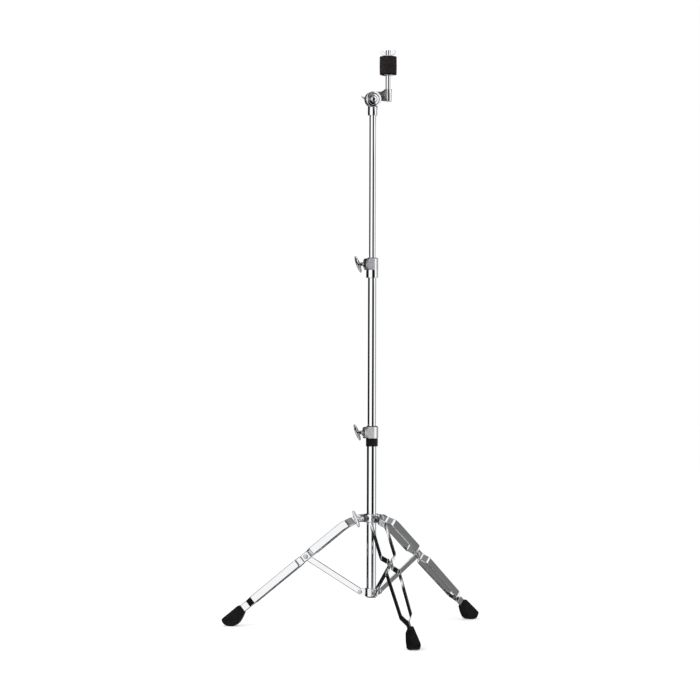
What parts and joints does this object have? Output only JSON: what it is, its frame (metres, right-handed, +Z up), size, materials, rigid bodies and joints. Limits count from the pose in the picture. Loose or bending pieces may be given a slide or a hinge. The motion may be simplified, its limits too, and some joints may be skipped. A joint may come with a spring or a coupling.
{
  "type": "straight cymbal stand",
  "caption": "Chrome floor stand with a folding double braced tripod, telescoping pole with wing bolt clamps, and a tilter that holds a cymbal rod with felts.",
  "frame": {"origin": "on the floor at the middle of the tripod's footprint, 93 mm in front of the pole's axis", "axes": "+Z up along the pole; -Y towards the front leg; +X towards the side that the tilter arm and the right leg point to"},
  "size_m": [0.698, 0.6051, 1.4748],
  "materials": {
    "chrome": "bright chrome plated steel",
    "cast_chrome": "chrome plated zinc casting",
    "steel": "zinc plated steel",
    "rubber": "matte black moulded rubber",
    "nylon": "black nylon",
    "felt": "black pressed wool felt"
  },
  "bodies": {
    "base": {"base_tube": "chrome", "base_end_plug": "nylon", "lower_clamp": "cast_chrome", "lower_clamp_ring": "nylon", "brace_collar": "cast_chrome", "brace_collar_screw": "steel", "left_brace_pin": "steel", "right_brace_pin": "steel", "front_brace_pin": "steel"},
    "leg_collar": {"leg_collar": "cast_chrome", "left_leg_top_pin": "steel", "right_leg_top_pin": "steel", "front_leg_top_pin": "steel"},
    "left_leg": {"left_leg_strip_a": "chrome", "left_leg_strip_b": "chrome", "left_waist_rivet_a": "steel", "left_waist_rivet_b": "steel", "left_foot_rivet": "steel", "left_rubber_foot": "rubber"},
    "right_leg": {"right_leg_strip_a": "chrome", "right_leg_strip_b": "chrome", "right_waist_rivet_a": "steel", "right_waist_rivet_b": "steel", "right_foot_rivet": "steel", "right_rubber_foot": "rubber"},
    "front_leg": {"front_leg_strip_a": "chrome", "front_leg_strip_b": "chrome", "front_waist_rivet_a": "steel", "front_waist_rivet_b": "steel", "front_foot_rivet": "steel", "front_rubber_foot": "rubber"},
    "left_brace": {"left_brace": "chrome"},
    "right_brace": {"right_brace": "chrome"},
    "front_brace": {"front_brace": "chrome"},
    "leg_collar_wing_bolt": {"leg_collar_wing_bolt": "chrome"},
    "lower_bush": {"lower_clamp_bush": "nylon"},
    "lower_wing_bolt": {"lower_wing_bolt": "chrome"},
    "middle_pole": {"middle_tube": "chrome", "upper_clamp": "cast_chrome"},
    "upper_bush": {"upper_clamp_bush": "nylon"},
    "upper_wing_bolt": {"upper_wing_bolt": "chrome"},
    "upper_pole": {"upper_tube": "chrome", "tilter_neck": "cast_chrome"},
    "tilter": {"tilter_arm": "cast_chrome", "tilter_nut": "chrome", "cymbal_rod": "chrome", "seat_washer": "steel", "rod_sleeve": "nylon", "lower_felt": "felt", "upper_felt": "felt"},
    "tilter_wing_bolt": {"tilter_wing_bolt": "chrome"},
    "cymbal_wing_nut": {"cymbal_wing_nut": "chrome"}
  },
  "joints": [
    {"name": "leg_collar_slide", "type": "slide", "parent": "base", "child": "leg_collar", "axis": [0, 0, 1], "range_m": [0, 0.15125]},
    {"name": "left_leg_fold", "type": "hinge", "parent": "leg_collar", "child": "left_leg", "pos_m": [-0.03031, 0.11045, 0.28501], "axis": [-0.5, -0.866, 0], "range_deg": [0, 50.8]},
    {"name": "right_leg_fold", "type": "hinge", "parent": "leg_collar", "child": "right_leg", "pos_m": [0.03031, 0.11045, 0.28501], "axis": [-0.5, 0.866, 0], "range_deg": [0, 50.8]},
    {"name": "front_leg_fold", "type": "hinge", "parent": "leg_collar", "child": "front_leg", "pos_m": [0, 0.05795, 0.28501], "axis": [1, 0, 0], "range_deg": [0, 50.8]},
    {"name": "left_brace_fold", "type": "hinge", "parent": "base", "child": "left_brace", "pos_m": [-0.02511, 0.10745, 0.099], "axis": [0.5, 0.866, 0], "range_deg": [0, 54.23]},
    {"name": "right_brace_fold", "type": "hinge", "parent": "base", "child": "right_brace", "pos_m": [0.02511, 0.10745, 0.099], "axis": [0.5, -0.866, 0], "range_deg": [0, 54.23]},
    {"name": "front_brace_fold", "type": "hinge", "parent": "base", "child": "front_brace", "pos_m": [0, 0.06395, 0.099], "axis": [-1, 0, 0], "range_deg": [0, 54.23]},
    {"name": "leg_collar_bolt_turn", "type": "hinge", "parent": "leg_collar", "child": "leg_collar_wing_bolt", "pos_m": [0, 0.09295, 0.28676], "axis": [-0.866, -0.5, 0], "continuous": true},
    {"name": "lower_clamp_bolt_turn", "type": "hinge", "parent": "base", "child": "lower_wing_bolt", "pos_m": [-0.01974, 0.08156, 0.5035], "axis": [-0.5, 0.866, 0], "continuous": true},
    {"name": "middle_pole_swivel", "type": "hinge", "parent": "base", "child": "lower_bush", "pos_m": [0, 0.09295, 0], "axis": [0, 0, 1], "continuous": true},
    {"name": "middle_pole_slide", "type": "slide", "parent": "lower_bush", "child": "middle_pole", "axis": [0, 0, 1], "range_m": [-0.322, 0.05]},
    {"name": "upper_clamp_bolt_turn", "type": "hinge", "parent": "middle_pole", "child": "upper_wing_bolt", "pos_m": [-0.01836, 0.08235, 0.9305], "axis": [-0.5, 0.866, 0], "continuous": true},
    {"name": "upper_pole_swivel", "type": "hinge", "parent": "middle_pole", "child": "upper_bush", "pos_m": [0, 0.09295, 0], "axis": [0, 0, 1], "continuous": true},
    {"name": "upper_pole_slide", "type": "slide", "parent": "upper_bush", "child": "upper_pole", "axis": [0, 0, 1], "range_m": [-0.357, 0.05]},
    {"name": "tilter_tilt", "type": "hinge", "parent": "upper_pole", "child": "tilter", "pos_m": [0, 0.09295, 1.349], "axis": [0, 1, 0], "range_deg": [-135, 45]},
    {"name": "tilter_bolt_turn", "type": "hinge", "parent": "tilter", "child": "tilter_wing_bolt", "pos_m": [0, 0.09295, 1.349], "axis": [0, 1, 0], "continuous": true},
    {"name": "cymbal_nut_turn", "type": "hinge", "parent": "tilter", "child": "cymbal_wing_nut", "pos_m": [0.04, 0.09295, 1.349], "axis": [0, 0, 1], "continuous": true}
  ],
  "couplings": [
    {"joint": "left_leg_fold", "follows": "leg_collar_slide", "rad_per_m": 5.8506},
    {"joint": "right_leg_fold", "follows": "leg_collar_slide", "rad_per_m": 5.8506},
    {"joint": "front_leg_fold", "follows": "leg_collar_slide", "rad_per_m": 5.8506},
    {"joint": "left_brace_fold", "follows": "leg_collar_slide", "rad_per_m": 6.2466},
    {"joint": "right_brace_fold", "follows": "leg_collar_slide", "rad_per_m": 6.2466},
    {"joint": "front_brace_fold", "follows": "leg_collar_slide", "rad_per_m": 6.2466}
  ]
}
